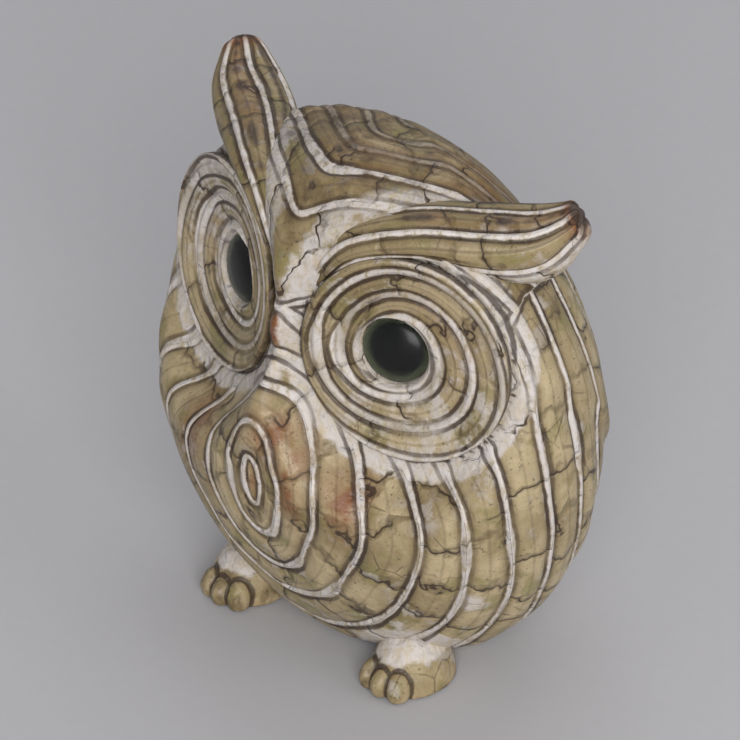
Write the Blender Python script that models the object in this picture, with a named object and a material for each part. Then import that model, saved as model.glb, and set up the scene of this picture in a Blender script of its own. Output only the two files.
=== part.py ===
"""Owl figurine: a hollow carved-look casting with separate facial discs, glass eyes and feet.

The owl faces -Y, stands on z = 0 and is mirrored about x = 0. Lengths are in millimetres
here and become metres when a mesh is made.
"""

import math

import bmesh
import bpy
import numpy as np
from mathutils import Matrix, Vector

MM = 0.001
GAP = 0.3                     # clearance between pieces that touch

# Body: an egg leaning forward, cut flat underneath
BODY_HALF_WIDTH = 51.0
BODY_HALF_DEPTH = 36.6
BODY_HALF_HEIGHT = 60.4
BASE_CUT = 6.6                # part of the half height that the floor takes away
BODY_CENTRE_HEIGHT = BODY_HALF_HEIGHT - BASE_CUT
CROWN_HEIGHT = BODY_CENTRE_HEIGHT + BODY_HALF_HEIGHT
BODY_LEAN = 6.8               # degrees, the crown moves towards -Y
WALL = 5.0

# Facial discs: dished rings, each carrying one eye
DISC_RADIUS = 22.0
DISC_SPACING = 50.6           # between the two rim centres
DISC_SETBACK = 19.0           # rim centre to the body's centre plane, towards -Y
DISC_DROP = 33.7              # rim centre below the crown
DISC_HEIGHT = CROWN_HEIGHT - DISC_DROP
DISC_SPLAY = 21.0             # degrees outwards
DISC_TILT = 6.0               # degrees upwards
DISC_THICKNESS = 8.0
DISC_EDGE = 2.0               # straight part of the rim's side
DISC_BACK_RADIUS = 14.5       # the back tapers to this
DISH_DEPTH = 3.2
FACE_LEDGE = 1.5              # flat ledge round each disc
FACE_FLARE = 0.12             # the recess opens as this times the square of the distance
FACE_BLEND = 6.0              # rounding between the recess and the egg
RIDGE_BLEND = 3.0             # rounding of the ridge between the discs
RIM_PROUD = 1.0               # disc rim in front of the ledge

# Glass eyes
EYE_RADIUS = 7.0
EYE_OFFSET = 3.3              # eye centre to disc centre, towards the beak
GLASS_EDGE = 1.2
GLASS_CROWN = 2.8
IRIS_THICKNESS = 0.8
SOCKET_DEPTH = 3.4            # below the dished surface at the eye

# Beak
BEAK_DROP = 1.5               # beak centre below the disc centres
BEAK_HALF_LENGTH = 10.0
BEAK_HALF_WIDTH = 3.0
BEAK_PROUD = 1.6              # in front of the ridge between the discs
BEAK_ROOT = 8.0               # behind the ridge

# Feet
FOOT_SPACING = 45.0
FOOT_PROUD = 0.09             # foot centre in front of the egg's front at the peg's height
FOOT_HALF_WIDTH = 8.0
FOOT_HALF_LENGTH = 9.6
FOOT_HEIGHT = 12.0
TOE_HALF_WIDTH = 3.0
TOE_HALF_LENGTH = 5.6
TOE_HALF_HEIGHT = 4.4
TOE_REACH = 6.0               # toe centre in front of the foot's centre
TOE_CENTRE_HEIGHT = 2.4
TOE_FAN = 24.0                # degrees between toes
PEG_RADIUS = 3.0
PEG_LENGTH = 14.0             # behind the foot's centre
PEG_START = 5.0               # inside the foot, in front of its centre
PEG_HEIGHT = 7.0
PEG_COVER = 3.0               # resin between the peg's socket and the hollow
HOLLOW_FLOOR = PEG_HEIGHT + PEG_RADIUS + GAP + PEG_COVER

# Base opening, plug and felt pads
HOLE_RADIUS = 8.0
PLUG_THICKNESS = 3.5
BASE_PAD_RADIUS = 13.0
FOOT_PAD_RADIUS = 5.0
PAD_THICKNESS = 1.2
PAD_PROUD = 0.5               # felt that stands below the casting

# Brow and ear tuft, left half: centre line, half width, and half thickness above and
# below. The centre line's third number is its drop below the crown.
BROW_STATIONS = (
    ((2.0, -21.5, 26.2), 2.4, 2.4, 2.4),
    ((9.3, -18.3, 13.6), 5.0, 3.8, 3.8),
    ((19.6, -11.2, 8.9), 7.2, 4.2, 4.6),
    ((30.3, -2.8, 8.4), 8.0, 4.2, 8.8),
    ((38.2, 2.8, 7.0), 7.2, 3.7, 11.2),
    ((43.2, 6.7, 4.4), 5.0, 2.8, 7.4),
    ((46.0, 8.7, 0.8), 1.5, 1.2, 2.2),
)
BROW_WIDTH_DIRECTION = (0.70, -0.71, 0.0)
BROW_STEPS = 4
BROW_SIDES = 14

EGG_SEGMENTS = 48
EGG_RINGS = 30
ROUND_SIDES = 48


def front_setback(x, z):
    """How far the leaning egg's front stands from the centre plane, towards -Y.

    The egg's equation at x and z is a quadratic in y.
    """
    lean = math.radians(BODY_LEAN)
    rise = z - BODY_CENTRE_HEIGHT
    deep, tall = BODY_HALF_DEPTH ** -2, BODY_HALF_HEIGHT ** -2
    a = deep * math.cos(lean) ** 2 + tall * math.sin(lean) ** 2
    b = 2 * rise * math.sin(lean) * math.cos(lean) * (deep - tall)
    c = rise ** 2 * (deep * math.sin(lean) ** 2 + tall * math.cos(lean) ** 2)
    c -= 1 - (x / BODY_HALF_WIDTH) ** 2
    return (b + math.sqrt(b ** 2 - 4 * a * c)) / (2 * a)


FOOT_SETBACK = front_setback(FOOT_SPACING / 2, PEG_HEIGHT) + FOOT_PROUD


# --- materials -------------------------------------------------------------

def material(name, colour, roughness, metallic=0.0, transmission=0.0):
    """A Principled material with one colour."""
    made = bpy.data.materials.new(name)
    made.use_nodes = True
    shader = made.node_tree.nodes["Principled BSDF"]
    shader.inputs["Base Color"].default_value = (*colour, 1.0)
    shader.inputs["Roughness"].default_value = roughness
    shader.inputs["Metallic"].default_value = metallic
    shader.inputs["Transmission Weight"].default_value = transmission
    made.diffuse_color = (*colour, 1.0)
    return made


# --- mesh helpers ----------------------------------------------------------

def add_object(name, shape, finish=None):
    """Turn a bmesh in millimetres into a smooth-shaded object in metres."""
    bmesh.ops.triangulate(shape, faces=shape.faces)
    bmesh.ops.recalc_face_normals(shape, faces=shape.faces)
    bmesh.ops.scale(shape, vec=(MM, MM, MM), verts=shape.verts)
    mesh = bpy.data.meshes.new(name)
    shape.to_mesh(mesh)
    shape.free()
    if finish is not None:
        mesh.materials.append(finish)
    mesh.shade_smooth()
    mesh.set_sharp_from_angle(angle=math.radians(40))
    made = bpy.data.objects.new(name, mesh)
    bpy.context.scene.collection.objects.link(made)
    return made


def cutter(name, shape):
    """An object that only shapes others."""
    made = add_object(name, shape)
    made.hide_render = True
    made.display_type = "WIRE"
    return made


def combine(target, tool, operation):
    """Add an exact Boolean to the target."""
    step = target.modifiers.new(f"{operation.lower()} {tool.name}", "BOOLEAN")
    step.operation = operation
    step.object = tool
    step.solver = "EXACT"


def disc_frame(side):
    """Rim centre, outward, up and facing directions of a disc."""
    splay = math.radians(DISC_SPLAY)
    tilt = math.radians(DISC_TILT)
    out = Vector((
        side * math.sin(splay) * math.cos(tilt),
        -math.cos(splay) * math.cos(tilt),
        math.sin(tilt),
    ))
    across = Vector((side * math.cos(splay), math.sin(splay), 0.0))
    up = out.cross(across) if side > 0 else across.cross(out)
    centre = Vector((side * DISC_SPACING / 2, -DISC_SETBACK, DISC_HEIGHT))
    return centre, across, up, out


def face_distance(points, side, depth):
    """Height over one face recess, moved back by depth.

    Round the disc axis the recess is flat out to a ledge and then rises with the square of
    the distance past it; the height is shortened where that rise is steep.
    """
    centre, _, _, out = disc_frame(side)
    offset = points - np.array(centre)
    height = offset @ np.array(out)
    radius = np.linalg.norm(offset - height[:, None] * np.array(out), axis=1)
    past = np.maximum(radius - (DISC_RADIUS + GAP + FACE_LEDGE + depth), 0.0)
    rise = height + RIM_PROUD + depth - FACE_FLARE * past ** 2
    return rise / np.sqrt(1.0 + (2.0 * FACE_FLARE * past) ** 2)


def egg_distance(points, half_sizes):
    """Distance outside the leaning egg, close to its surface."""
    lean = math.radians(BODY_LEAN)
    x, y = points[:, 0], points[:, 1]
    z = points[:, 2] - BODY_CENTRE_HEIGHT
    along = np.stack([
        x, y * math.cos(lean) + z * math.sin(lean), z * math.cos(lean) - y * math.sin(lean),
    ], axis=1)
    scaled = np.linalg.norm(along / half_sizes, axis=1)
    slope = np.linalg.norm(along / half_sizes ** 2, axis=1)
    return scaled * (scaled - 1.0) / np.maximum(slope, 1e-9)


def soft_max(a, b, blend):
    """The larger of two distances, rounded where they are within blend of each other."""
    near = np.maximum(blend - np.abs(a - b), 0.0)
    return np.maximum(a, b) + near ** 2 / (4.0 * blend)


def egg(shrink=0.0, floor=PAD_PROUD, recess=None, segments=EGG_SEGMENTS, rings=EGG_RINGS):
    """The leaning egg, made smaller all round by shrink and clamped flat at floor.

    With a recess, the egg is cut back behind both face recesses with a rounded edge. Each
    point lies where a ray from the centre leaves the shape.
    """
    shape = bmesh.new()
    bmesh.ops.create_uvsphere(shape, u_segments=segments, v_segments=rings, radius=1.0)
    half_sizes = np.array((BODY_HALF_WIDTH, BODY_HALF_DEPTH, BODY_HALF_HEIGHT)) - shrink
    bmesh.ops.scale(shape, vec=half_sizes, verts=shape.verts)
    turn = Matrix.Rotation(math.radians(BODY_LEAN), 3, "X")
    bmesh.ops.rotate(shape, matrix=turn, verts=shape.verts)
    rays = np.array([vertex.co for vertex in shape.verts])
    centre = np.array((0.0, 0.0, BODY_CENTRE_HEIGHT))
    length = np.ones(len(rays))
    if recess is not None:
        low = np.zeros(len(rays))
        for _ in range(20):
            middle = (low + length) / 2
            points = centre + rays * middle[:, None]
            sides = [face_distance(points, side, recess) for side in (1, -1)]
            faces = soft_max(*sides, RIDGE_BLEND)
            outside = soft_max(egg_distance(points, half_sizes), faces, FACE_BLEND) > 0.0
            length = np.where(outside, middle, length)
            low = np.where(outside, low, middle)
    points = centre + rays * length[:, None]
    points[:, 2] = np.maximum(points[:, 2], floor)
    for vertex, point in zip(shape.verts, points):
        vertex.co = point
    return shape


def turned(profile, sides=ROUND_SIDES):
    """A closed solid turned about Z from (radius, height) points, axis to axis."""
    shape = bmesh.new()
    corners = [shape.verts.new((radius, 0.0, height)) for radius, height in profile]
    edges = [shape.edges.new(pair) for pair in zip(corners, corners[1:])]
    bmesh.ops.spin(
        shape, geom=corners + edges, cent=(0, 0, 0), axis=(0, 0, 1),
        angle=math.tau, steps=sides, use_merge=True,
    )
    bmesh.ops.remove_doubles(shape, verts=shape.verts, dist=0.001)
    return shape


def place_on_disc(shape, side, shift=0.0):
    """Move a solid made about Z onto the disc's axis, shift towards the beak."""
    centre, across, up, out = disc_frame(side)
    right = across if side > 0 else -across
    turn = Matrix((right, up, out)).transposed()
    bmesh.ops.rotate(shape, matrix=turn, verts=shape.verts)
    bmesh.ops.translate(shape, vec=centre - across * shift, verts=shape.verts)
    return shape


# --- pieces ----------------------------------------------------------------

def dish_height(radius):
    """Height of the dished face below the rim plane at a radius."""
    return -DISH_DEPTH * (1.0 - (radius / DISC_RADIUS) ** 2)


SOCKET_FLOOR = dish_height(0.0) - SOCKET_DEPTH


def facial_disc(side, name, finish):
    """Dished disc with a round socket for the eye."""
    radii = np.linspace(0.0, DISC_RADIUS, 8)
    profile = [
        (0.0, -DISC_THICKNESS), (DISC_BACK_RADIUS, -DISC_THICKNESS), (DISC_RADIUS, -DISC_EDGE)
    ]
    profile += [(float(r), dish_height(float(r))) for r in radii[::-1]]
    disc = add_object(name, place_on_disc(turned(profile), side), finish)
    bore = EYE_RADIUS + GAP
    socket = turned([(0.0, SOCKET_FLOOR), (bore, SOCKET_FLOOR), (bore, GAP * 4), (0.0, GAP * 4)], 32)
    combine(disc, cutter(f"{name}_socket", place_on_disc(socket, side, EYE_OFFSET)), "DIFFERENCE")
    return disc


def eye_iris(side, name, finish):
    """Painted disc on the floor of the socket."""
    low = SOCKET_FLOOR + GAP
    high = low + IRIS_THICKNESS
    shape = turned([(0.0, low), (EYE_RADIUS, low), (EYE_RADIUS, high), (0.0, high)], 32)
    return add_object(name, place_on_disc(shape, side, EYE_OFFSET), finish)


def eye_glass(side, name, finish):
    """Clear domed cabochon in front of the iris."""
    low = SOCKET_FLOOR + IRIS_THICKNESS + 2 * GAP
    edge = low + GLASS_EDGE
    angles = np.linspace(0.0, math.pi / 2, 7)
    profile = [(0.0, low), (EYE_RADIUS, low)]
    profile += [
        (EYE_RADIUS * math.cos(float(a)), edge + GLASS_CROWN * math.sin(float(a))) for a in angles[:-1]
    ]
    profile.append((0.0, edge + GLASS_CROWN))
    return add_object(name, place_on_disc(turned(profile, 32), side, EYE_OFFSET), finish)


def disc_space(side):
    """Room for a disc in the body, a gap larger all round and open in front."""
    rim = DISC_RADIUS + GAP
    back = DISC_BACK_RADIUS + GAP
    low = -DISC_THICKNESS - GAP
    shape = turned([(0.0, low), (back, low), (rim, -DISC_EDGE - GAP), (rim, GAP), (0.0, GAP)])
    return place_on_disc(shape, side)


def smooth_path(points, steps):
    """Points on a Catmull-Rom curve through the given rows."""
    rows = np.asarray(points, float)
    padded = np.vstack([2 * rows[0] - rows[1], rows, 2 * rows[-1] - rows[-2]])
    out = []
    for i in range(len(rows) - 1):
        a, b, c, d = padded[i:i + 4]
        for t in np.arange(steps) / steps:
            out.append(0.5 * (2 * b + (c - a) * t + (2 * a - 5 * b + 4 * c - d) * t ** 2
                              + (3 * b - a - 3 * c + d) * t ** 3))
    out.append(rows[-1])
    return np.array(out)


def brow(side):
    """Brow and ear tuft: lens-shaped sections carried along the brow line to a point."""
    rows = smooth_path([
        [x, y, CROWN_HEIGHT - drop, wide, above, below]
        for (x, y, drop), wide, above, below in BROW_STATIONS
    ], BROW_STEPS)
    lengthwise = np.gradient(rows[:, :3], axis=0)
    lengthwise /= np.linalg.norm(lengthwise, axis=1)[:, None]
    width_axis = np.array(BROW_WIDTH_DIRECTION) - lengthwise * (
        lengthwise @ np.array(BROW_WIDTH_DIRECTION))[:, None]
    width_axis /= np.linalg.norm(width_axis, axis=1)[:, None]
    down_axis = np.cross(lengthwise, width_axis)
    shape = bmesh.new()
    rings = []
    for row, wide_dir, down_dir in zip(rows, width_axis, down_axis):
        ring = []
        for k in range(BROW_SIDES):
            turn = math.tau * k / BROW_SIDES
            down = math.sin(turn) * (row[5] if math.sin(turn) > 0 else row[4])
            point = row[:3] + wide_dir * row[3] * math.cos(turn) + down_dir * down
            ring.append(shape.verts.new((side * point[0], point[1], point[2])))
        rings.append(ring)
    for near, far in zip(rings, rings[1:]):
        for k in range(BROW_SIDES):
            nxt = (k + 1) % BROW_SIDES
            shape.faces.new((near[k], near[nxt], far[nxt], far[k]))
    shape.faces.new(rings[0][::-1])
    shape.faces.new(rings[-1])
    return shape


def rounded(half_sizes, centre, turn=0.0, segments=20, rings=12):
    """An ellipsoid turned about Z."""
    shape = bmesh.new()
    bmesh.ops.create_uvsphere(shape, u_segments=segments, v_segments=rings, radius=1.0)
    bmesh.ops.scale(shape, vec=half_sizes, verts=shape.verts)
    bmesh.ops.rotate(shape, matrix=Matrix.Rotation(turn, 3, "Z"), verts=shape.verts)
    bmesh.ops.translate(shape, vec=centre, verts=shape.verts)
    return shape


def upright(radius, low, high, x, y, sides=24):
    """A vertical cylinder."""
    shape = turned([(0.0, low), (radius, low), (radius, high), (0.0, high)], sides)
    bmesh.ops.translate(shape, vec=(x, y, 0.0), verts=shape.verts)
    return shape


def peg(side, extra):
    """The peg behind a foot, larger by extra, lying along Y."""
    shape = turned([
        (0.0, -PEG_START), (PEG_RADIUS + extra, -PEG_START),
        (PEG_RADIUS + extra, PEG_LENGTH + extra), (0.0, PEG_LENGTH + extra),
    ], 24)
    bmesh.ops.rotate(shape, matrix=Matrix.Rotation(-math.pi / 2, 3, "X"), verts=shape.verts)
    centre = (side * FOOT_SPACING / 2, -FOOT_SETBACK, PEG_HEIGHT)
    bmesh.ops.translate(shape, vec=centre, verts=shape.verts)
    return shape


def foot_pad_space(side):
    """Room for the felt pad under a foot, a gap larger and open below."""
    x = side * FOOT_SPACING / 2
    return upright(FOOT_PAD_RADIUS + GAP, -1.0, PAD_THICKNESS + GAP, x, -FOOT_SETBACK)


def foot(side, name, finish):
    """Foot with three toes, trimmed to the body and the floor, with a peg behind."""
    x = side * FOOT_SPACING / 2
    heel = rounded((FOOT_HALF_WIDTH, FOOT_HALF_LENGTH, FOOT_HEIGHT), (x, -FOOT_SETBACK, PAD_PROUD))
    made = add_object(name, heel, finish)
    for step in (-1, 0, 1):
        fan = math.radians(TOE_FAN) * step
        ahead = -FOOT_SETBACK - TOE_REACH * math.cos(fan)
        place = (x + TOE_REACH * math.sin(fan), ahead, TOE_CENTRE_HEIGHT)
        toe = rounded((TOE_HALF_WIDTH, TOE_HALF_LENGTH, TOE_HALF_HEIGHT), place, fan, 16, 10)
        combine(made, cutter(f"{name}_toe_{step + 2}", toe), "UNION")
    combine(made, cutter(f"{name}_body_space", egg(-GAP, -WALL)), "DIFFERENCE")
    combine(made, cutter(f"{name}_peg", peg(side, 0.0)), "UNION")
    below = upright(2 * FOOT_HEIGHT, -FOOT_HEIGHT, PAD_PROUD, x, -FOOT_SETBACK)
    combine(made, cutter(f"{name}_floor", below), "DIFFERENCE")
    combine(made, cutter(f"{name}_pad_recess", foot_pad_space(side)), "DIFFERENCE")
    return made


def base_centre():
    """Middle of the flat that the floor plane cuts from the leaning egg."""
    lean = math.radians(BODY_LEAN)
    drop = PAD_PROUD - BODY_CENTRE_HEIGHT
    depth2 = BODY_HALF_DEPTH ** 2
    height2 = BODY_HALF_HEIGHT ** 2
    mixed = math.sin(lean) * math.cos(lean) * (depth2 - height2)
    vertical = depth2 * math.sin(lean) ** 2 + height2 * math.cos(lean) ** 2
    return drop * mixed / vertical


def body(finish):
    """Hollow casting with brows, beak, disc pockets, foot sockets and a base opening."""
    made = add_object("body_casting", egg(recess=0.0), finish)
    for side, label in ((1, "left"), (-1, "right")):
        combine(made, cutter(f"{label}_brow", brow(side)), "UNION")
    # the ridge between the discs lies where their rim planes meet
    ridge = DISC_SETBACK + DISC_SPACING / 2 * math.tan(math.radians(DISC_SPLAY))
    depth = BEAK_PROUD + BEAK_ROOT
    place = (0.0, depth - ridge - BEAK_PROUD, DISC_HEIGHT - BEAK_DROP)
    beak = rounded((BEAK_HALF_WIDTH, depth, BEAK_HALF_LENGTH), place)
    combine(made, cutter("beak", beak), "UNION")
    backing = DISC_THICKNESS + GAP + WALL - RIM_PROUD
    combine(made, cutter("hollow", egg(WALL, HOLLOW_FLOOR, backing, 24, 14)), "DIFFERENCE")
    for side, label in ((1, "left"), (-1, "right")):
        combine(made, cutter(f"{label}_disc_space", disc_space(side)), "DIFFERENCE")
        combine(made, cutter(f"{label}_peg_socket", peg(side, GAP)), "DIFFERENCE")
        combine(made, cutter(f"{label}_pad_space", foot_pad_space(side)), "DIFFERENCE")
    y = base_centre()
    high = HOLLOW_FLOOR + WALL
    combine(made, cutter("base_hole", upright(HOLE_RADIUS, -1.0, high, 0.0, y, 32)), "DIFFERENCE")
    recess = upright(BASE_PAD_RADIUS + GAP, -1.0, PAD_THICKNESS + GAP, 0.0, y, 40)
    combine(made, cutter("base_pad_recess", recess), "DIFFERENCE")
    return made


def build():
    for old in list(bpy.data.objects):
        bpy.data.objects.remove(old, do_unlink=True)

    resin = material("painted resin", (0.32, 0.26, 0.17), 0.6)
    disc_resin = material("painted disc resin", (0.36, 0.30, 0.20), 0.55)
    glass = material("eye glass", (0.02, 0.03, 0.025), 0.05, transmission=0.6)
    iris = material("iris paint", (0.03, 0.06, 0.05), 0.3)
    felt = material("felt", (0.05, 0.08, 0.05), 0.95)
    plug = material("plug rubber", (0.6, 0.6, 0.58), 0.7)

    body(resin)
    for side, label in ((1, "left"), (-1, "right")):
        facial_disc(side, f"{label}_facial_disc", disc_resin)
        eye_iris(side, f"{label}_eye_iris", iris)
        eye_glass(side, f"{label}_eye_glass", glass)
        foot(side, f"{label}_foot", resin)
        pad = upright(FOOT_PAD_RADIUS, 0.0, PAD_THICKNESS, side * FOOT_SPACING / 2, -FOOT_SETBACK)
        add_object(f"{label}_foot_pad", pad, felt)
    y = base_centre()
    low = PAD_THICKNESS + 2 * GAP
    add_object("base_plug", upright(HOLE_RADIUS - GAP, low, low + PLUG_THICKNESS, 0.0, y, 32), plug)
    add_object("base_pad", upright(BASE_PAD_RADIUS, 0.0, PAD_THICKNESS, 0.0, y, 40), felt)


build()
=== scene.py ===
"""Carved and painted owl figurine: the finished surfaces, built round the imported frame.

The owl faces -Y and stands on z = 0. Lengths inside the functions are in millimetres and
become metres when a mesh is made.
"""

import math

import bpy
import numpy as np
from mathutils import Matrix, Vector


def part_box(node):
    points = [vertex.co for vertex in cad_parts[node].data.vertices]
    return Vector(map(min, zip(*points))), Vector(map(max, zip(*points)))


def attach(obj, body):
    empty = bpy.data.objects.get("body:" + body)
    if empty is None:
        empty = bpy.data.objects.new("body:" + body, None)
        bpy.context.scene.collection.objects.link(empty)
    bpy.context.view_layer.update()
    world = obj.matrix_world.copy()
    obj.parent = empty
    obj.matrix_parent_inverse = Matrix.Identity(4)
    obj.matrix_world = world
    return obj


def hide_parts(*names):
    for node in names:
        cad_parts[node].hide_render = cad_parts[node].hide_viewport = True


bl_info = {
    "name": "Carved owl figurine",
    "version": (1, 0, 0),
    "blender": (4, 5, 0),
    "location": "3D View > Sidebar > Owl",
    "description": "Builds the carved and painted surfaces of an owl figurine round its frame",
    "category": "Add Mesh",
}

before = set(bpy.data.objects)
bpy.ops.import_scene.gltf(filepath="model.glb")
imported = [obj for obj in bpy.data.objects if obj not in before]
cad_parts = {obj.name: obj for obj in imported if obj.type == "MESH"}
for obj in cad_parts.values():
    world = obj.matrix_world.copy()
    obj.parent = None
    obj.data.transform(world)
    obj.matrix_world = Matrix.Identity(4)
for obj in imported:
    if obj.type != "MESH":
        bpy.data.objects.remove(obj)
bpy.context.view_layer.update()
BODY_LOW, BODY_HIGH = (np.array(corner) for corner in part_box("body_casting"))

MM = 0.001
BODY = "root"
SIDES = ((1, "left"), (-1, "right"))

# Egg-shaped body, leaning forward at the crown
EGG_HALF_SIZES = np.array(((BODY_HIGH[0] - BODY_LOW[0]) / 2 / MM, 36.6, 60.4))
EGG_CENTRE = np.array((0.0, 0.0, 53.8))
EGG_LEAN = math.radians(6.8)
BASE_HEIGHT = BODY_LOW[2] / MM
BODY_RAY_REACH = 1.03         # as a share of the egg
BODY_SINK = 0.35              # that leaves room for the carving to stand up

# Facial discs and the hollow that they lie in
DISC_RADIUS = 22.0
DISC_CENTRE = np.array((25.3, -19.0, 80.5))
DISC_SPLAY = math.radians(21.0)
DISC_TILT = math.radians(6.0)
DISC_THICKNESS = 8.0
DISC_EDGE = 2.0
DISC_BACK_RADIUS = 14.5
DISH_DEPTH = 3.2
LEDGE_WIDTH = 1.8
RIM_PROUD = 1.0
FACE_FLARE = 0.12
POCKET_RADII = (DISC_BACK_RADIUS - 0.2, DISC_RADIUS - 0.7, DISC_RADIUS + 0.3)
POCKET_DEPTHS = (6.4, 1.0, 0.0)
MOAT_DEPTH = 0.9
MOAT_WIDTH = 1.0
MOAT_OFFSET = 0.2             # beyond the disc's radius
COLLAR_WIDTH = 2.6
COLLAR_FLARE = 0.4
COLLAR_DROP = 1.0
COLLAR_EDGE_BLEND = 1.5
COLLAR_BLEND = 3.0
FACE_BLEND = 6.0
RIDGE_BLEND = 3.0

# Spiral bead on each disc: its radius at the start and what it gains in a turn
SPIRAL_START = 9.2
SPIRAL_SPACING = 5.7
CRACK_REACH = 14.0            # length that one radian of the spiral counts as, for its cracks

# Beak
BEAK_CENTRE = (0.0, -23.6, 80.5)
BEAK_HALF_SIZES = np.array((2.7, 5.8, 8.6))
BEAK_LEAN = math.radians(-6.0)
BEAK_BLEND = 1.4

# Eyes
EYE_RADIUS = 7.0
EYE_OFFSET = 3.3
SOCKET_RADIUS = 7.3
SOCKET_FLOOR = -6.6
SOCKET_CORNER = 0.3
PUPIL_RADIUS = 5.2
IRIS_LIFT = 0.3               # over the socket's floor
IRIS_THICKNESS = 0.8
GLASS_SINK = 0.15             # into the painted disc that the glass is bonded to
GLASS_EDGE = 1.2
GLASS_CROWN = 2.8

# Rings carved round the middle of the belly, as degrees from it across the widest part
BELLY_DROP = math.radians(1.0)
RINGS = (2.5, 7.4, 16.2, 27.8, 42.5, 56.0, 70.5, 86.0, 101.0, 116.0, 131.0, 146.0, 161.0)
RING_STOPS = (0.0, *RINGS, 180.0)
RING_STRETCH = 1.6
RING_STRETCH_FADE = 13.5
ROWS_PER_DEGREE = 1.62
FEWEST_ROWS = 9
ROW_CROWDING = 0.11           # how strongly rows crowd towards the lines

# Cap of V-shaped lines on the crown, and the cap's lower edge
CAP_SLOPE = 0.68              # of the V's arms
CAP_SPACING = 7.7
CAP_START = 23.0              # first line's place in front of the middle
CAP_ROUNDING = 4.0            # at the point of the V
CAP_EDGE_HEIGHT = 95.0
CAP_FALL_FRONT = 0.33
CAP_FALL_BACK = 0.16

# Cross-section of the carving: groove beside a bead and pillow between beads
GROOVE_OFFSET = 1.05
GROOVE_WIDTH = 0.42
PILLOW_WIDTH = 2.7

# Loose patches of whitewash on the body: middle, size and strength
WASH_SPOTS = (
    ((0.0, -28.0, 74.0), 6.5, 0.75),
    ((11.0, -21.0, 104.0), 6.0, 0.6),
    ((-11.0, -21.0, 104.0), 6.0, 0.6),
    ((40.0, -14.7, 27.0), 6.0, 0.6),
    ((27.0, -20.0, 17.0), 7.0, 0.55),
    ((-27.0, -20.0, 17.0), 6.0, 0.5),
    ((-40.0, -14.0, 30.0), 6.0, 0.5),
    ((30.0, 20.0, 96.0), 7.0, 0.4),
    ((-14.0, 34.0, 60.0), 8.0, 0.45),
    ((22.0, 32.0, 34.0), 8.0, 0.45),
)

# Reddish stains on the body: middle, sizes along the axes and strength
STAIN_SPOTS = (
    ((21.5, -33.0, 51.0), (3.2, 8.0, 6.5), 1.6),
    ((18.5, -34.5, 59.0), (3.6, 8.0, 7.0), 1.6),
    ((14.0, -35.5, 67.0), (3.0, 8.0, 6.0), 1.4),
    ((-21.0, -32.0, 54.0), (4.5, 8.0, 11.0), 1.0),
    ((5.0, -35.0, 61.0), (5.5, 8.0, 4.5), 0.9),
    ((9.5, -36.0, 52.0), (2.6, 8.0, 10.0), 1.0),
    ((0.0, -30.0, 82.0), (2.6, 6.0, 8.0), 1.3),
    ((0.0, -36.0, 49.0), (2.4, 5.0, 5.0), 0.5),
    ((30.0, -28.0, 18.0), (6.0, 8.0, 5.0), 0.35),
    ((22.0, 8.0, 106.0), (13.0, 14.0, 9.0), 0.45),
    ((-18.0, 12.0, 108.0), (13.0, 14.0, 9.0), 0.4),
    ((4.0, -6.0, 112.0), (8.0, 9.0, 6.0), 0.35),
)

# Brow and ear tuft, left half: centre line, half width, and half thickness above and below
BROW_STATIONS = (
    (2.0, -21.5, 88.0, 2.4, 2.4, 2.4),
    (9.3, -18.3, 100.6, 5.0, 3.8, 3.8),
    (19.6, -11.2, 105.3, 7.2, 4.2, 4.6),
    (30.3, -2.8, 105.8, 8.0, 4.2, 8.8),
    (38.2, 2.8, 107.2, 7.2, 3.7, 11.2),
    (43.2, 6.7, 109.8, 5.0, 2.8, 7.4),
    (46.0, 8.7, 112.5, 3.0, 2.2, 3.4),
)
BROW_WIDTH_DIRECTION = np.array((0.70, -0.71, 0.0))
BROW_LINE_ANGLES = (-90.0, -34.0, 43.0, 98.0, 158.0, 215.0, 270.0)
BROW_LINE_PHASES = (0.5, 1.0, 2.0, 3.0, 4.0, 5.0, 5.5)
BROW_CURVE_POINTS = 60
TIP_START = 0.90              # share of the length where a tuft begins to close
TIP_LENGTH = 0.10
TIP_CLOSING = 0.985           # how nearly it closes

# Feet
FOOT_X = 22.5
FOOT_Y = -13.0
FOOT_HALF_SIZES = np.array((8.0, 9.6, 12.0))
TOE_HALF_SIZES = np.array((3.0, 5.6, 4.4))
TOE_CENTRE_HEIGHT = 2.4
TOE_FAN = math.radians(24.0)
TOE_REACH = 6.0
TOE_BLEND = 0.9
FOOT_RAY_REACH = 22.0
FOOT_RAY_START = (-2.0, 3.0)  # forward of the foot's middle, and the height
PAD_EDGE = 0.35

# Numbers that the paint reads at each point: line spacings, height over the cap's edge
# (far below it where there is no cap), whitewash, stain, dark (dark paint, with painted shade in
# the gaps round the discs), and how bright the beads are
PAINT_DEFAULTS = {"spacing": 60.0, "cap_spacing": 60.0, "cap": -99.0, "wash": 0.0, "stain": 0.0,
                  "dark": 0.0, "fade": 1.0}

# Columns of the grids, and rows where they are even
BODY_COLUMNS = 338
BROW_ROWS, BROW_COLUMNS = 190, 150
DISC_ROWS, DISC_COLUMNS = 150, 340
FOOT_ROWS, FOOT_COLUMNS = 150, 220
EYE_COLUMNS = 96
PAD_COLUMNS = 64

# Lights: name, place, width, power and colour
LIGHTS = (
    ("key", (1.05, -0.95, 0.70), 0.9, 19.5, (1.0, 0.985, 0.97)),
    ("side", (1.2, 0.35, 0.55), 0.7, 3.0, (0.97, 0.985, 1.0)),
    ("overhead", (-0.5, 0.7, 1.3), 1.2, 5.0, (1.0, 1.0, 1.0)),
)
FLOOR_INNER_RADIUS = 0.05
FLOOR_RING_RATIO = 1.6
FLOOR_RINGS, FLOOR_COLUMNS = 12, 48
LIGHT_AIM = Vector((0.0, 0.0, 0.05))
SURROUND_COLOUR = (0.95, 0.96, 1.0, 1.0)
SURROUND_STRENGTH = 0.39

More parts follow.
